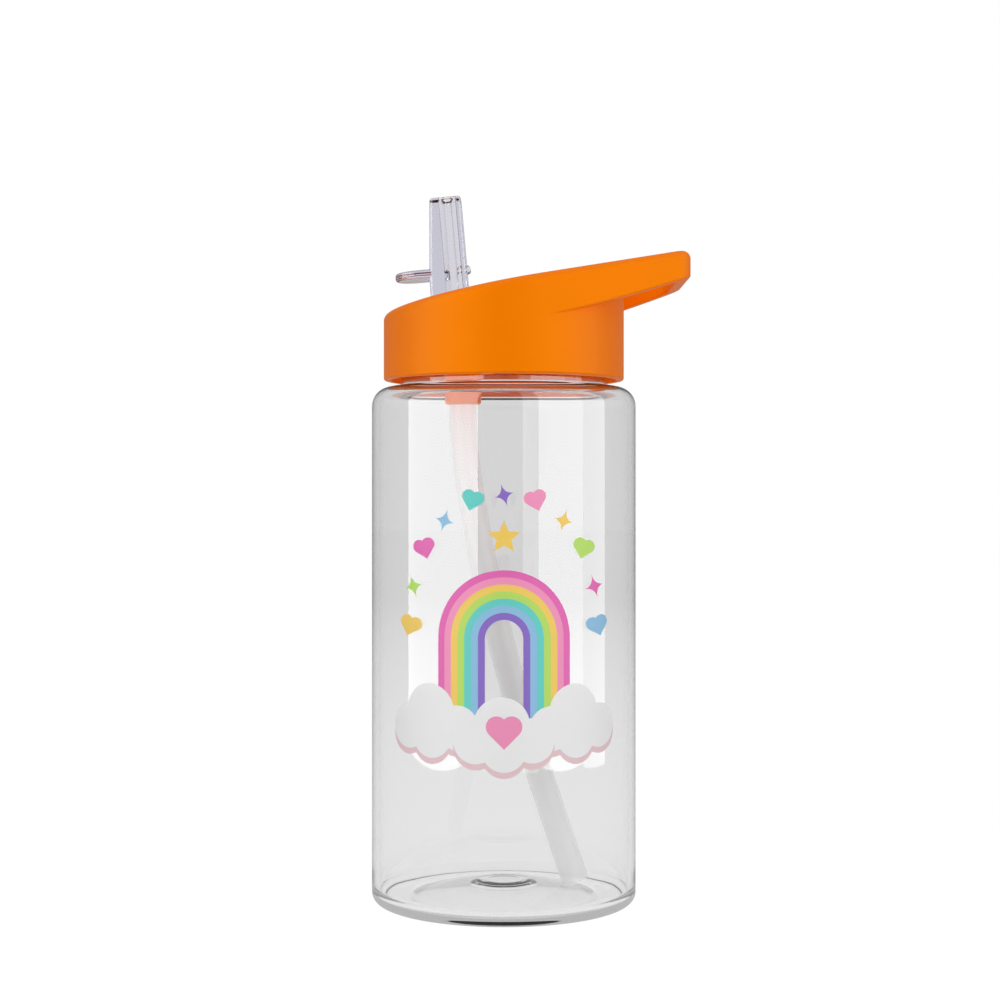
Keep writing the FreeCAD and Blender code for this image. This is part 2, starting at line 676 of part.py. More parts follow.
# ---------------------------------------------------------------- soft seals and straw
def make_spout_seal():
    seal = new_body("spout_seal")
    revolve(seal, "sleeve", [
        ("seal_bore", "seal_seat"),
        ("seal_radius - seal_fit", "seal_seat"),
        ("seal_radius - seal_fit", "housing_top"),
        ("seal_bore", "housing_top"),
    ])
    saddle = new_sketch(seal, "saddle_outline", "XZ_Plane")
    draw_circle(saddle, "barrel_radius + seal_gap", ("0", "pivot_z"))
    extrude(seal, "saddle", saddle, "cut_through", cut=True, both_ways=True)
    bind(seal, "Placement.Base.x", "pivot_x")
    return seal


def make_lid_gasket():
    gasket = new_body("lid_gasket")
    revolve(gasket, "ring", [
        ("gasket_inner", "neck_top + gasket_slack"),
        ("gasket_outer", "neck_top + gasket_slack"),
        ("gasket_outer", "gasket_seat - gasket_slack"),
        ("gasket_inner", "gasket_seat - gasket_slack"),
    ])
    return gasket


def make_drinking_straw():
    """A bent tube: straight in its stub, two gentle turns, then straight to the bottle's base."""
    straw = new_body("drinking_straw")
    one, two = "straw_bend_1 * 1 deg", "(straw_bend_1 + straw_bend_2) * 1 deg"
    x_1 = f"pivot_x + straw_arc_1 * (1 - cos({one}))"
    z_1 = f"stub_base - straw_arc_1 * sin({one})"
    x_2 = f"{x_1} + straw_arc_2 * (cos({one}) - cos({two}))"
    z_2 = f"{z_1} - straw_arc_2 * (sin({two}) - sin({one}))"
    spine = new_sketch(straw, "straw_route", "XZ_Plane")
    draw_outline(spine, [
        ("pivot_x", "straw_seat"),
        ("pivot_x", "stub_base"),
        (x_1, z_1, "straw_arc_1", 1),
        (x_2, z_2, "straw_arc_2", 1),
        (f"{x_2} + ({z_2} - straw_end) * tan({two})", "straw_end"),
    ], closed=False)
    section = new_sketch(straw, "straw_section", "XY_Plane", "straw_seat")
    draw_circle(section, "straw_radius", ("pivot_x", "0"))
    draw_circle(section, "straw_radius - straw_wall", ("pivot_x", "0"))
    pipe = straw.newObject("PartDesign::AdditivePipe", "straw_tube")
    pipe.Profile = section
    pipe.Spine = (spine, [f"Edge{i}" for i in range(1, 5)])
    return straw


NODES = [
    make_bottle_body(),
    make_lid(),
    make_flip_spout(),
    make_spout_seal(),
    make_lid_gasket(),
    make_vent_valve(),
    make_drinking_straw(),
]
doc.recompute()

for item in doc.Objects:
    if {"Invalid", "Error"} & set(item.State):
        raise RuntimeError(f"{item.Label} did not build: {item.State}")
for node in NODES:
    shape = node.Shape
    if shape.isNull() or not shape.isValid() or len(shape.Solids) != 1:
        raise RuntimeError(f"{node.Label} is not one valid solid")
for node in NODES:
    node.Shape.exportStep(f"parts/{node.Label}.step")
    box = node.Shape.BoundBox
    print(f"{node.Label}: {node.Shape.Volume:.0f} mm3, "
          f"x {box.XMin:.1f} {box.XMax:.1f}, y {box.YMin:.1f} {box.YMax:.1f}, "
          f"z {box.ZMin:.1f} {box.ZMax:.1f}")
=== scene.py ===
"""Kids' water bottle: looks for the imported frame. Metres; lengths written in millimetres use MM."""
import math

import bmesh
import bpy
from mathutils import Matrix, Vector, geometry


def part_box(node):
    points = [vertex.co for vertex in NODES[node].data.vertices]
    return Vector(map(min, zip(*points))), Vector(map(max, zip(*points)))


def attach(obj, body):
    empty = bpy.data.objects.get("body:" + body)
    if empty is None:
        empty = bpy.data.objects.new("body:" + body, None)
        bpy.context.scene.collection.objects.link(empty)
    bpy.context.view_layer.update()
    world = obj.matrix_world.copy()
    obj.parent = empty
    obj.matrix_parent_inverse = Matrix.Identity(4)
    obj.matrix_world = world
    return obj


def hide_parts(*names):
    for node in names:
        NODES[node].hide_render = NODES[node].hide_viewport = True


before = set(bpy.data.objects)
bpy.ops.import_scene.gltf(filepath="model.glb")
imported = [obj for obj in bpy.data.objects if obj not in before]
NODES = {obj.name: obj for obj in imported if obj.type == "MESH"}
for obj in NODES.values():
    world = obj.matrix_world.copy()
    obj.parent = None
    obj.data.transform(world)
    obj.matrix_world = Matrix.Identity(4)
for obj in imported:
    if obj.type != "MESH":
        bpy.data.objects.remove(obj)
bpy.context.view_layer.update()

MM = 0.001

body_low, body_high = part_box("bottle_body")
BODY_RADIUS = body_high.x
NECK_TOP = body_high.z

# Bottle wall, from the base up
WALL = 1.8 * MM
BASE_CORNER = 2.8 * MM
INNER_CORNER = 3.2 * MM
RING_INNER = 24.0 * MM
PUSH_UP = 3.2 * MM
PUSH_UP_ARC = 60.0 * MM
BUTTON_RADIUS = 7.2 * MM
BUTTON_STEP = 0.6 * MM
SHOULDER_TOP = 135.5 * MM
SHOULDER_CORNER = 5.0 * MM
NECK_RADIUS = 27.2 * MM
THREAD_START = 141.0 * MM
THREAD_PITCH = 4.0 * MM
THREAD_TURNS = 1.25
THREAD_DEPTH = 1.7 * MM
THREAD_HALF = 0.95 * MM
THREAD_FLANK = 0.7 * MM
THREAD_FADE = 0.04
RIM_ROUND = 0.4 * MM
NECK_FILLET = 0.5 * MM
NECK_INNER_FILLET = 1.0 * MM
BUTTON_TOP_EDGE = 0.4 * MM
BUTTON_FOOT = 0.3 * MM


# ---------------------------------------------------------------- camera and light
EYE = Vector((-1.0 * MM, -500 * MM, 105.8 * MM))
LENS_MM = 68.0
AIM_Z = 0.25

# Brightness of the backdrop for each kind of ray
SEEN = 1.0
THROUGH = 0.80
REFLECTED = 0.25
LIT = 0.65

# Brightness of the floor for the same rays, near the bottle and far behind it
FLOOR_THROUGH = (0.97, 0.81)
FLOOR_REFLECTED = (0.50, 0.20)
FLOOR_SEEN = (SEEN + 0.06, SEEN + 0.06)
FLOOR_FADE = (0.1, 1.5)
FLOOR_RADIUS = 6.0

# Upright lights seen as bands on the bottle: name, from and to azimuth in degrees, brightness
BOX_DISTANCE = 0.30
BOX_HEIGHT = 0.46
BOX_CENTRE_Z = 0.225
SOFTBOXES = [
    ("softbox_left", -86, -21, 4.3),
    ("softbox_right", 28, 68, 4.4),
    ("softbox_right_edge", 68, 92, 3.0),
    ("softbox_right_spill", 15, 28, 1.7),
]


def make_camera():
    data = bpy.data.cameras.new("camera")
    data.lens = LENS_MM
    data.sensor_width = 36
    camera = bpy.data.objects.new("camera", data)
    bpy.context.scene.collection.objects.link(camera)
    camera.location = EYE
    camera.rotation_euler = (math.radians(90), 0, 0)
    bpy.context.scene.camera = camera


def make_softbox(name, azimuth, distance, width, height, centre_z, radiance, reflected):
    """A rectangular light at an azimuth from the camera's side, facing the bottle's axis.

    It either shows only as a reflection, or only lights matt surfaces.
    """
    data = bpy.data.lights.new(name, "AREA")
    data.shape = "RECTANGLE"
    data.size = width
    data.size_y = height
    data.energy = radiance * math.pi * width * height
    lamp = bpy.data.objects.new(name, data)
    bpy.context.scene.collection.objects.link(lamp)
    turn = math.radians(azimuth)
    lamp.location = (math.sin(turn) * distance, -math.cos(turn) * distance, centre_z)
    aim = Vector((0, 0, min(centre_z, AIM_Z))) - lamp.location
    lamp.rotation_euler = aim.to_track_quat("-Z", "Y").to_euler()
    lamp.visible_camera = False
    lamp.visible_transmission = False
    lamp.visible_glossy = reflected
    lamp.visible_diffuse = not reflected


def flagged(tree, start, levels, make):
    """A chain of mixes: the shader for each kind of ray, over the one for all other rays."""
    nodes, links = tree.nodes, tree.links
    path = nodes.new("ShaderNodeLightPath")
    chained = start
    for flag, level in levels:
        mix = nodes.new("ShaderNodeMixShader")
        links.new(path.outputs[flag], mix.inputs["Fac"])
        links.new(chained, mix.inputs[1])
        links.new(make(nodes, level), mix.inputs[2])
        chained = mix.outputs[0]
    return chained


def grey_background(nodes, level):
    background = nodes.new("ShaderNodeBackground")
    background.inputs["Color"].default_value = (level, level, level, 1)
    return background.outputs[0]


def make_world():
    """A plain white studio: seen white, a little greyer through the bottle, dim in reflections."""
    world = bpy.data.worlds.new("studio")
    bpy.context.scene.world = world
    world.use_nodes = True
    tree = world.node_tree
    tree.nodes.clear()
    out = tree.nodes.new("ShaderNodeOutputWorld")
    levels = [("Is Glossy Ray", REFLECTED), ("Is Transmission Ray", THROUGH), ("Is Camera Ray", SEEN)]
    shader = flagged(tree, grey_background(tree.nodes, LIT), levels, grey_background)
    tree.links.new(shader, out.inputs["Surface"])


def floor_paper():
    """Pale paper that looks as white as the backdrop, with a faint shadow under the bottle."""
    material, nodes, links, shader = new_material("floor_paper")
    shader.inputs["Base Color"].default_value = (0.8, 0.8, 0.8, 1)
    shader.inputs["Roughness"].default_value = 0.9
    shader.inputs["Specular IOR Level"].default_value = 0.0
    where = nodes.new("ShaderNodeTexCoord")
    away = nodes.new("ShaderNodeVectorMath")
    away.operation = "LENGTH"
    links.new(where.outputs["Object"], away.inputs[0])

    def fading(tree_nodes, level):
        """A glow that goes from the first level near the bottle to the second far away."""
        near, far = level
        fade = tree_nodes.new("ShaderNodeMapRange")
        fade.inputs["From Min"].default_value = FLOOR_FADE[0]
        fade.inputs["From Max"].default_value = FLOOR_FADE[1]
        fade.inputs["To Min"].default_value = near
        fade.inputs["To Max"].default_value = far
        links.new(away.outputs["Value"], fade.inputs["Value"])
        glow = tree_nodes.new("ShaderNodeEmission")
        links.new(fade.outputs["Result"], glow.inputs["Strength"])
        return glow.outputs[0]

    levels = [("Is Glossy Ray", FLOOR_REFLECTED), ("Is Transmission Ray", FLOOR_THROUGH),
              ("Is Camera Ray", FLOOR_SEEN)]
    seen = flagged(material.node_tree, shader.outputs["BSDF"], levels, fading)
    mix = nodes.new("ShaderNodeMixShader")
    mix.inputs["Fac"].default_value = 0.9
    links.new(shader.outputs["BSDF"], mix.inputs[1])
    links.new(seen, mix.inputs[2])
    links.new(mix.outputs[0], nodes["Material Output"].inputs["Surface"])
    return material


def make_studio():
    scene = bpy.context.scene
    scene.view_settings.view_transform = "Standard"
    scene.cycles.max_bounces = 24
    scene.cycles.transmission_bounces = 20
    scene.cycles.transparent_max_bounces = 24
    make_world()
    for name, start, end, radiance in SOFTBOXES:
        half = math.radians(end - start) / 2
        make_softbox(name, (start + end) / 2, BOX_DISTANCE, 2 * BOX_DISTANCE * math.tan(half),
                     BOX_HEIGHT, BOX_CENTRE_Z, radiance, True)
    make_softbox("fill_front", 0, 1.0, 1.2, 0.9, 0.40, 1.1, False)
    make_softbox("fill_top", 0, 0.02, 0.9, 0.9, 0.95, 0.7, False)
    floor = bpy.data.meshes.new("floor")
    shape = bmesh.new()
    bmesh.ops.create_circle(shape, cap_ends=True, segments=96, radius=FLOOR_RADIUS)
    shape.to_mesh(floor)
    shape.free()
    ground = bpy.data.objects.new("floor", floor)
    scene.collection.objects.link(ground)
    floor.materials.append(floor_paper())


# ---------------------------------------------------------------- materials
def new_material(name):
    material = bpy.data.materials.new(name)
    material.use_nodes = True
    nodes, links = material.node_tree.nodes, material.node_tree.links
    shader = nodes["Principled BSDF"]
    return material, nodes, links, shader


def srgb(red, green, blue):
    """Linear colour from eight-bit display values."""
    channels = [channel / 255 for channel in (red, green, blue)]
    return tuple(c / 12.92 if c <= 0.04045 else ((c + 0.055) / 1.055) ** 2.4 for c in channels)


def noise(nodes, links, scale, detail=3.0, stretch=(1, 1, 1)):
    """Object-space noise, in cells per metre."""
    where = nodes.new("ShaderNodeTexCoord")
    mapping = nodes.new("ShaderNodeMapping")
    mapping.inputs["Scale"].default_value = stretch
    texture = nodes.new("ShaderNodeTexNoise")
    texture.inputs["Scale"].default_value = scale
    texture.inputs["Detail"].default_value = detail
    links.new(where.outputs["Object"], mapping.inputs["Vector"])
    links.new(mapping.outputs["Vector"], texture.inputs["Vector"])
    return texture.outputs["Fac"]


def ranged(nodes, links, source, low, high):
    """The source, spread from low to high."""
    spread = nodes.new("ShaderNodeMapRange")
    spread.inputs["From Min"].default_value = 0.3
    spread.inputs["From Max"].default_value = 0.7
    spread.inputs["To Min"].default_value = low
    spread.inputs["To Max"].default_value = high
    links.new(source, spread.inputs["Value"])
    return spread.outputs["Result"]


def bump(nodes, links, shader, source, height):
    node = nodes.new("ShaderNodeBump")
    node.inputs["Distance"].default_value = height
    node.inputs["Strength"].default_value = 1.0
    links.new(source, node.inputs["Height"])
    links.new(node.outputs["Normal"], shader.inputs["Normal"])


def tinted(nodes, links, shader, source, dark, light):
    ramp = nodes.new("ShaderNodeMix")
    ramp.data_type = "RGBA"
    ramp.inputs[6].default_value = (*dark, 1)
    ramp.inputs[7].default_value = (*light, 1)
    links.new(source, ramp.inputs[0])
    links.new(ramp.outputs[2], shader.inputs["Base Color"])


def lets_light_in(nodes, links, shader, colour):
    """Lamps reach what is behind the surface, dimmed to this colour at each crossing."""
    path = nodes.new("ShaderNodeLightPath")
    through = nodes.new("ShaderNodeBsdfTransparent")
    through.inputs["Color"].default_value = (*colour, 1)
    mix = nodes.new("ShaderNodeMixShader")
    links.new(path.outputs["Is Shadow Ray"], mix.inputs["Fac"])
    links.new(shader.outputs["BSDF"], mix.inputs[1])
    links.new(through.outputs["BSDF"], mix.inputs[2])
    links.new(mix.outputs["Shader"], nodes["Material Output"].inputs["Surface"])


def clear_plastic(name, tint, roughness, ior, wave, haze):
    """Clear moulded plastic: refracts, darkens with thickness, and lets light reach the inside."""
    material, nodes, links, shader = new_material(name)
    shader.inputs["Base Color"].default_value = (*tint, 1)
    shader.inputs["Transmission Weight"].default_value = 1.0
    shader.inputs["IOR"].default_value = ior
    links.new(ranged(nodes, links, noise(nodes, links, 60, 2.0), roughness * 0.6, roughness * 1.4),
              shader.inputs["Roughness"])
    bump(nodes, links, shader, noise(nodes, links, 45, 1.0, (1, 1, 0.4)), wave)
    lets_light_in(nodes, links, shader, tint)
    body = nodes.new("ShaderNodeVolumeAbsorption")
    body.inputs["Color"].default_value = (*haze, 1)
    body.inputs["Density"].default_value = 100.0
    links.new(body.outputs["Volume"], nodes["Material Output"].inputs["Volume"])
    return material


def orange_polypropylene():
    """Satin moulded polypropylene: deep orange, with a faint painted glow (orange emission) standing
    in for the light it lets through.
    """
    material, nodes, links, shader = new_material("orange_polypropylene")
    tinted(nodes, links, shader, noise(nodes, links, 90, 4.0), (0.70, 0.155, 0.0), (0.75, 0.168, 0.0))
    links.new(ranged(nodes, links, noise(nodes, links, 250, 3.0), 0.34, 0.42),
              shader.inputs["Roughness"])
    bump(nodes, links, shader, noise(nodes, links, 2600, 2.0), 0.006 * MM)
    shader.inputs["IOR"].default_value = 1.49
    shader.inputs["Specular IOR Level"].default_value = 0.2
    shader.inputs["Specular Tint"].default_value = (1.0, 0.60, 0.02, 1)
    # Painted glow: a weak orange emission stands in for light passing through the plastic
    shader.inputs["Emission Color"].default_value = (1.0, 0.16, 0.0, 1)
    shader.inputs["Emission Strength"].default_value = 0.14
    lets_light_in(nodes, links, shader, (1.0, 0.35, 0.0))
    return material


def straw_plastic():
    """Thin milky polyethylene tube: half of what is behind it shows through."""
    material, nodes, links, shader = new_material("straw_plastic")
    tinted(nodes, links, shader, noise(nodes, links, 70, 3.0), (0.93, 0.93, 0.94), (0.97, 0.97, 0.97))
    links.new(ranged(nodes, links, noise(nodes, links, 180, 3.0), 0.30, 0.42),
              shader.inputs["Roughness"])
    shader.inputs["Alpha"].default_value = 0.3
    bump(nodes, links, shader, noise(nodes, links, 900, 2.0, (1, 1, 0.1)), 0.004 * MM)
    return material


def soft_silicone():
    material, nodes, links, shader = new_material("soft_silicone")
    tinted(nodes, links, shader, noise(nodes, links, 300, 3.0), (0.78, 0.78, 0.80), (0.88, 0.88, 0.89))
    links.new(ranged(nodes, links, noise(nodes, links, 500, 2.0), 0.45, 0.6),
              shader.inputs["Roughness"])
    shader.inputs["Transmission Weight"].default_value = 0.35
    bump(nodes, links, shader, noise(nodes, links, 1800, 2.0), 0.004 * MM)
    return material


INK_THINNESS = 0.2


def ink(name, colour):
    """Screen-printed ink: satin, with the slight mottle of its mesh, and thin enough to pass light."""
    material, nodes, links, shader = new_material("ink_" + name)
    dark = tuple(channel * 0.96 for channel in colour)
    tinted(nodes, links, shader, noise(nodes, links, 1500, 3.0), dark, colour)
    links.new(ranged(nodes, links, noise(nodes, links, 2500, 2.0), 0.40, 0.52),
              shader.inputs["Roughness"])
    shader.inputs["Specular IOR Level"].default_value = 0.25
    behind = nodes.new("ShaderNodeBsdfTranslucent")
    behind.inputs["Color"].default_value = (*colour, 1)
    mix = nodes.new("ShaderNodeMixShader")
    mix.inputs["Fac"].default_value = INK_THINNESS
    links.new(shader.outputs["BSDF"], mix.inputs[1])
    links.new(behind.outputs["BSDF"], mix.inputs[2])
    links.new(mix.outputs["Shader"], nodes["Material Output"].inputs["Surface"])
    return material


def dress(piece, material):
    """Gives a piece one material in all of its slots."""
    piece.data.materials.clear()
    piece.data.materials.append(material)
    for face in piece.data.polygons:
        face.material_index = 0


# ---------------------------------------------------------------- mesh helpers
def add_piece(name, mesh, body):
    piece = bpy.data.objects.new(name, mesh)
    bpy.context.scene.collection.objects.link(piece)
    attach(piece, body)
    return piece


def arc(centre_r, centre_z, radius, start, end, steps):
    """Points (r, z) along an arc, from start to end in degrees, without its first point."""
    points = []
    for step in range(1, steps + 1):
        angle = math.radians(start + (end - start) * step / steps)
        points.append((centre_r + radius * math.cos(angle), centre_z + radius * math.sin(angle)))
    return points


def rise(points, end, steps):
    """Adds evenly spaced points from the last point to the end."""
    start = points[-1]
    for step in range(1, steps + 1):
        share = step / steps
        points.append((start[0] + (end[0] - start[0]) * share, start[1] + (end[1] - start[1]) * share))


def lathe(name, profile, segments, swell=None):
    """A closed solid from a profile that starts and ends on the axis."""
    shape = bmesh.new()
    rings = []
    for radius, height in profile:
        if radius < 1e-7:
            rings.append([shape.verts.new((0, 0, height))])
            continue
        ring = []
        for step in range(segments):
            turn = 2 * math.pi * step / segments
            wide = radius + (swell(turn, radius, height) if swell else 0)
            ring.append(shape.verts.new((wide * math.cos(turn), wide * math.sin(turn), height)))
        rings.append(ring)
    for lower, upper in zip(rings, rings[1:]):
        for step in range(segments):
            after = (step + 1) % segments
            if len(lower) == 1:
                shape.faces.new((lower[0], upper[after], upper[step]))
            elif len(upper) == 1:
                shape.faces.new((lower[step], lower[after], upper[0]))
            else:
                shape.faces.new((lower[step], lower[after], upper[after], upper[step]))
    bmesh.ops.recalc_face_normals(shape, faces=shape.faces)
    mesh = bpy.data.meshes.new(name)
    shape.to_mesh(mesh)
    shape.free()
    smooth(mesh, 40)
    return mesh


def smooth(mesh, sharp_degrees):
    mesh.polygons.foreach_set("use_smooth", [True] * len(mesh.polygons))
    mesh.set_sharp_from_angle(angle=math.radians(sharp_degrees))


# ---------------------------------------------------------------- bottle
def thread_swell(turn, radius, height):
    """How far the helical ridge stands out from the neck at this place."""
    if radius < NECK_RADIUS - 0.1 * MM or radius > NECK_RADIUS + 0.1 * MM:
        return 0.0
    best = 0.0
    for lap in range(2):
        along = turn / (2 * math.pi) + lap
        if along > THREAD_TURNS:
            continue
        fade = min(1.0, along / THREAD_FADE, (THREAD_TURNS - along) / THREAD_FADE)
        off = abs(height - THREAD_START - THREAD_PITCH * along)
        side = min(1.0, max(0.0, (THREAD_HALF + THREAD_FLANK / 2 - off) / THREAD_FLANK))
        best = max(best, fade * side)
    return best * THREAD_DEPTH


def push_up_height(radius):
    """Underside of the dished base between the standing ring and the button."""
    across = RING_INNER - BUTTON_RADIUS
    share = (RING_INNER - radius) / across
    sag = math.sqrt(PUSH_UP_ARC ** 2 - (across / 2) ** 2)
    bulge = math.sqrt(PUSH_UP_ARC ** 2 - (across * (share - 0.5)) ** 2) - sag
    return PUSH_UP * share + bulge


def bottle_profile():
    """The wall as one closed line: up the outside, over the rim and down the inside."""
    outer = [(0, PUSH_UP + BUTTON_STEP)]
    rise(outer, (BUTTON_RADIUS - BUTTON_TOP_EDGE, PUSH_UP + BUTTON_STEP), 3)
    rise(outer, (BUTTON_RADIUS, PUSH_UP + BUTTON_STEP * 0.4), 2)
    rise(outer, (BUTTON_RADIUS + BUTTON_FOOT, push_up_height(BUTTON_RADIUS + BUTTON_FOOT)), 2)
    for step in range(1, 13):
        radius = BUTTON_RADIUS + BUTTON_FOOT + (RING_INNER - BUTTON_RADIUS - BUTTON_FOOT) * step / 12
        outer.append((radius, push_up_height(radius)))
    rise(outer, (RING_INNER + 0.8 * MM, 0), 2)
    rise(outer, (BODY_RADIUS - BASE_CORNER, 0), 3)
    outer += arc(BODY_RADIUS - BASE_CORNER, BASE_CORNER, BASE_CORNER, -90, 0, 10)
    rise(outer, (BODY_RADIUS, SHOULDER_TOP - SHOULDER_CORNER), 24)
    outer += arc(BODY_RADIUS - SHOULDER_CORNER, SHOULDER_TOP - SHOULDER_CORNER,
                 SHOULDER_CORNER, 0, 90, 12)
    outer += [(NECK_RADIUS + NECK_FILLET, SHOULDER_TOP)]
    outer += arc(NECK_RADIUS + NECK_FILLET, SHOULDER_TOP + NECK_FILLET, NECK_FILLET, -90, -180, 4)
    rise(outer, (NECK_RADIUS, NECK_TOP - RIM_ROUND), 44)
    outer += arc(NECK_RADIUS - RIM_ROUND, NECK_TOP - RIM_ROUND, RIM_ROUND, 0, 90, 4)
    neck_inside = NECK_RADIUS - WALL
    inner = [(neck_inside + RIM_ROUND, NECK_TOP)]
    inner += arc(neck_inside + RIM_ROUND, NECK_TOP - RIM_ROUND, RIM_ROUND, 90, 180, 4)
    rise(inner, (neck_inside, SHOULDER_TOP - WALL + NECK_INNER_FILLET), 6)
    inner += arc(neck_inside + NECK_INNER_FILLET, SHOULDER_TOP - WALL + NECK_INNER_FILLET,
                 NECK_INNER_FILLET, 180, 270, 6)
    inner += [(BODY_RADIUS - SHOULDER_CORNER, SHOULDER_TOP - WALL)]
    inner += arc(BODY_RADIUS - SHOULDER_CORNER, SHOULDER_TOP - SHOULDER_CORNER,
                 SHOULDER_CORNER - WALL, 90, 0, 10)
    rise(inner, (BODY_RADIUS - WALL, WALL + INNER_CORNER), 24)
    inner += arc(BODY_RADIUS - WALL - INNER_CORNER, WALL + INNER_CORNER, INNER_CORNER, 0, -90, 10)
    rise(inner, (RING_INNER + 0.5 * MM, WALL), 3)
    for step in range(1, 13):
        radius = RING_INNER - (RING_INNER - BUTTON_RADIUS - BUTTON_FOOT) * step / 12
        inner.append((radius, push_up_height(radius) + WALL))
    rise(inner, (BUTTON_RADIUS, PUSH_UP + WALL + BUTTON_STEP * 0.6), 2)
    rise(inner, (BUTTON_RADIUS - BUTTON_TOP_EDGE, PUSH_UP + WALL + BUTTON_STEP), 2)
    rise(inner, (0, PUSH_UP + WALL + BUTTON_STEP), 3)
    return outer + inner


def make_bottle():
    mesh = lathe("clear_bottle", bottle_profile(), 192, thread_swell)
    bottle = add_piece("clear_bottle", mesh, "bottle")
    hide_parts("bottle_body")
    dress(bottle, clear_plastic("clear_tritan", (0.94, 0.94, 0.94), 0.02, 1.57, 0.004 * MM,
                                (0.90, 0.90, 0.90)))


# ---------------------------------------------------------------- print
INKS = {
    "white": srgb(249, 249, 249),
    "pink": srgb(251, 157, 200),
    "pale_pink": srgb(239, 210, 215),
    "magenta": srgb(238, 109, 190),
    "yellow": srgb(251, 216, 101),
    "green": srgb(193, 232, 107),
    "teal": srgb(106, 219, 211),
    "sky": srgb(152, 203, 236),
    "purple": srgb(147, 115, 209),
}
INK_FILM = 0.012 * MM
INK_GAP = 0.008 * MM


def turned(points, centre, tilt):
    cosine, sine = math.cos(math.radians(tilt)), math.sin(math.radians(tilt))
    return [(centre[0] + x * cosine - y * sine, centre[1] + x * sine + y * cosine) for x, y in points]


def facing(points, centre, tilt):
    """A turned outline, spread round the body so that it keeps its proportions from the front."""
    spread = 1 / math.cos(centre[0] * MM / BODY_RADIUS)
    return [(centre[0] + (x - centre[0]) * spread, z) for x, z in turned(points, centre, tilt)]


def heart(centre, width, tilt):
    """A square on its corner with a half disc on each upper side."""
    side = width / (1 + math.sqrt(0.5))
    lobe = side / math.sqrt(8)
    points = [(0.0, -2 * lobe)]
    for right in (1, -1):
        sweep = range(-45, 136, 9) if right > 0 else range(45, 226, 9)
        for degrees in sweep:
            angle = math.radians(degrees)
            points.append((right * lobe + side / 2 * math.cos(angle),
                           lobe + side / 2 * math.sin(angle)))
    return facing(points, centre, tilt)


SPARKLE_PINCH = 3.8


def sparkle(centre, width, height, tilt):
    """A four-pointed star with hollow sides."""
    points = []
    for step in range(64):
        t = 2 * math.pi * step / 64
        x = math.copysign(abs(math.cos(t)) ** SPARKLE_PINCH, math.cos(t))
        y = math.copysign(abs(math.sin(t)) ** SPARKLE_PINCH, math.sin(t))
        points.append((x * width / 2, y * height / 2))
    return facing(points, centre, tilt)


STAR_WAIST = 0.46


def star(centre, radius, tilt):
    """A five-pointed star."""
    points = []
    for step in range(10):
        reach = radius if step % 2 == 0 else radius * STAR_WAIST
        angle = math.radians(90 + 36 * step)
        points.append((reach * math.cos(angle), reach * math.sin(angle)))
    return turned(points, centre, tilt)


def arch(centre, outer, inner, foot):
    """A band of a rainbow: a half ring whose legs run straight down to the foot."""
    over = [math.pi * k / 60 for k in range(61)]
    points = [(outer, foot - centre[1])]
    points += [(outer * math.cos(t), outer * math.sin(t)) for t in over]
    points += [(-outer, foot - centre[1]), (-inner, foot - centre[1])]
    points += [(inner * math.cos(t), inner * math.sin(t)) for t in reversed(over)]
    points += [(inner, foot - centre[1])]
    return turned(points, centre, 0)


def cloud(centre, puffs):
    """The outline round overlapping discs (x, z, radius), seen from the cloud's centre."""
    points = []
    for step in range(160):
        angle = 2 * math.pi * step / 160
        ux, uz = math.cos(angle), math.sin(angle)
        reach = 0.0
        for x, z, radius in puffs:
            along = x * ux + z * uz
            off = abs(x * uz - z * ux)
            if off < radius:
                reach = max(reach, along + math.sqrt(radius ** 2 - off ** 2))
        points.append((reach * ux, reach * uz))
    return turned(points, centre, 0)


def filled(outline):
    """Triangles over an outline with inner grid points, so that they can bend round the body."""
    corners = [Vector(p) for p in outline]
    edges = [(k, (k + 1) % len(corners)) for k in range(len(corners))]
    lows = [min(p[axis] for p in outline) for axis in (0, 1)]
    highs = [max(p[axis] for p in outline) for axis in (0, 1)]
    pitch = 1.5
    inside = []
    for column in range(1, int((highs[0] - lows[0]) / pitch) + 1):
        for row in range(1, int((highs[1] - lows[1]) / pitch) + 1):
            inside.append(Vector((lows[0] + column * pitch, lows[1] + row * pitch)))
    points, _, faces, _, _, _ = geometry.delaunay_2d_cdt(
        corners + inside, edges, [], 1, 1e-6)
    return points, faces


def printed(name, colour, outlines, layer):
    """A film of ink on the body: x runs round the front in millimetres, z is the height."""
    shape = bmesh.new()
    low = BODY_RADIUS + INK_GAP + layer * (INK_FILM + INK_GAP)
    for outline in outlines:
        points, faces = filled(outline)
        sides = []
        for radius in (low, low + INK_FILM):
            ring = []
            for point in points:
                angle = point.x * MM / BODY_RADIUS
                ring.append(shape.verts.new(
                    (radius * math.sin(angle), -radius * math.cos(angle), point.y * MM)))
            sides.append(ring)
        rim = {}
        for face in faces:
            shape.faces.new([sides[1][k] for k in face])
            shape.faces.new([sides[0][k] for k in reversed(face)])
            for a, b in zip(face, face[1:] + face[:1]):
                if (b, a) in rim:
                    del rim[(b, a)]
                else:
                    rim[(a, b)] = True
        for a, b in rim:
            shape.faces.new((sides[0][a], sides[0][b], sides[1][b], sides[1][a]))
    loose = [v for v in shape.verts if not v.link_faces]
    bmesh.ops.delete(shape, geom=loose, context="VERTS")
    bmesh.ops.recalc_face_normals(shape, faces=shape.faces)
    mesh = bpy.data.meshes.new(name)
    shape.to_mesh(mesh)
    shape.free()
    smooth(mesh, 35)
    piece = add_piece(name, mesh, "bottle")
    dress(piece, INK_MATERIALS[colour])


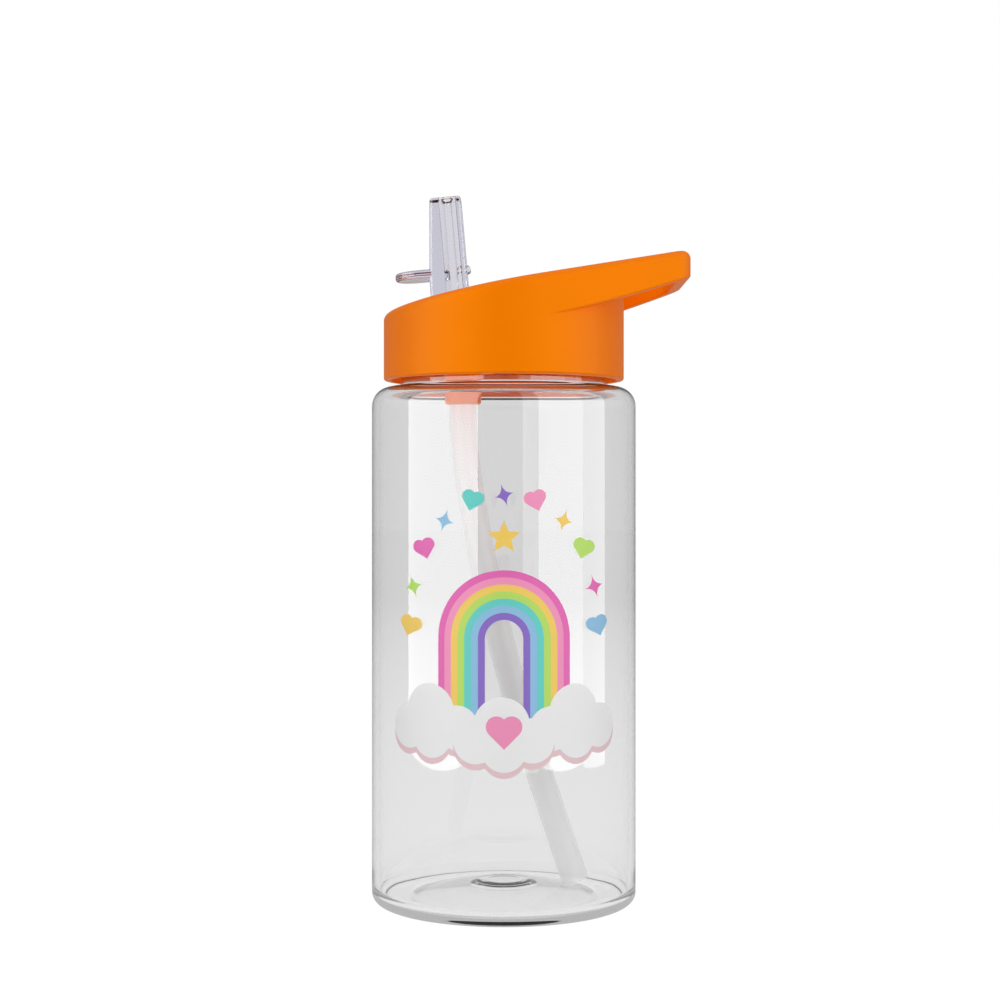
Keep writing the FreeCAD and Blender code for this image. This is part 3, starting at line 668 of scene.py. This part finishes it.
# Places on the print in millimetres: (round the front from its middle, height)
RAINBOW_CENTRE = (0.0, 71.5)
RAINBOW_FOOT = 47.0
RAINBOW_OUTER = 17.0
BAND = 1.75
CLOUD_PUFFS = [(-7.2, -0.8, 5.6), (-0.6, 3.2, 7.0), (7.2, -0.6, 5.6), (0.0, -2.8, 5.6)]
SIDE_CLOUD_LAYER = 2
MIDDLE_CLOUD_LAYER = 4
CLOUD_PLACES = [(-19.0, 50.0, SIDE_CLOUD_LAYER), (19.0, 50.0, SIDE_CLOUD_LAYER),
                (0.0, 47.0, MIDDLE_CLOUD_LAYER)]
CLOUD_SHADE_DROP = 1.5
HALO_CENTRE = (0.0, 74.0)
HALO_REACH = (26.0, 33.0)
HALO_COUNT = 11
HALO_TILT = 16
HALO_HEART = 5.6
HALO_SPARKLE = (5.4, 6.4)
BIG_HEART_PLACE = (0.0, 48.0)
BIG_HEART = 9.0
STAR_PLACE = (0.0, 96.5)
STAR_RADIUS = 4.2
HALO_COLOURS = ("sky", "magenta", "green", "yellow", "pink", "purple", "teal")


def make_halo():
    """Hearts and sparkles in turn, evenly spaced on half an ellipse over the rainbow."""
    for place in range(HALO_COUNT):
        angle = math.pi * place / (HALO_COUNT - 1)
        centre = (HALO_CENTRE[0] + HALO_REACH[0] * math.cos(angle),
                  HALO_CENTRE[1] + HALO_REACH[1] * math.sin(angle))
        tilt = HALO_TILT if place % 4 < 2 else -HALO_TILT
        if place % 2 == 0:
            outline = heart(centre, HALO_HEART, tilt)
        else:
            outline = sparkle(centre, *HALO_SPARKLE, tilt)
        colour = HALO_COLOURS[place % len(HALO_COLOURS)]
        printed(f"print_motif_{place + 1}", colour, [outline], 0)


def make_print():
    """A rainbow standing on three clouds, with a heart, a star and a halo of small motifs."""
    bands = ("magenta", "pink", "yellow", "green", "teal", "sky", "purple")
    for count, colour in enumerate(bands):
        outer = RAINBOW_OUTER - count * BAND
        printed(f"print_rainbow_{colour}", colour,
                [arch(RAINBOW_CENTRE, outer, outer - BAND, RAINBOW_FOOT)], 1)
    for count, (x, z, layer) in enumerate(CLOUD_PLACES, 1):
        printed(f"print_cloud_shade_{count}", "pale_pink",
                [cloud((x, z - CLOUD_SHADE_DROP), CLOUD_PUFFS)], layer)
        printed(f"print_cloud_{count}", "white", [cloud((x, z), CLOUD_PUFFS)], layer + 1)
    printed("print_heart", "pink", [heart(BIG_HEART_PLACE, BIG_HEART, 0)], MIDDLE_CLOUD_LAYER + 2)
    printed("print_star", "yellow", [star(STAR_PLACE, STAR_RADIUS, 0)], 0)
    make_halo()


# ---------------------------------------------------------------- build
make_camera()
make_studio()
INK_MATERIALS = {name: ink(name, colour) for name, colour in INKS.items()}
make_bottle()
make_print()
dress(NODES["lid_cap"], orange_polypropylene())
dress(NODES["flip_spout"], clear_plastic("clear_spout", (0.97, 0.965, 0.98), 0.04, 1.5,
                                         0.003 * MM, (0.76, 0.75, 0.86)))
dress(NODES["drinking_straw"], straw_plastic())
for soft in ("spout_seal", "lid_gasket", "vent_valve"):
    dress(NODES[soft], soft_silicone())
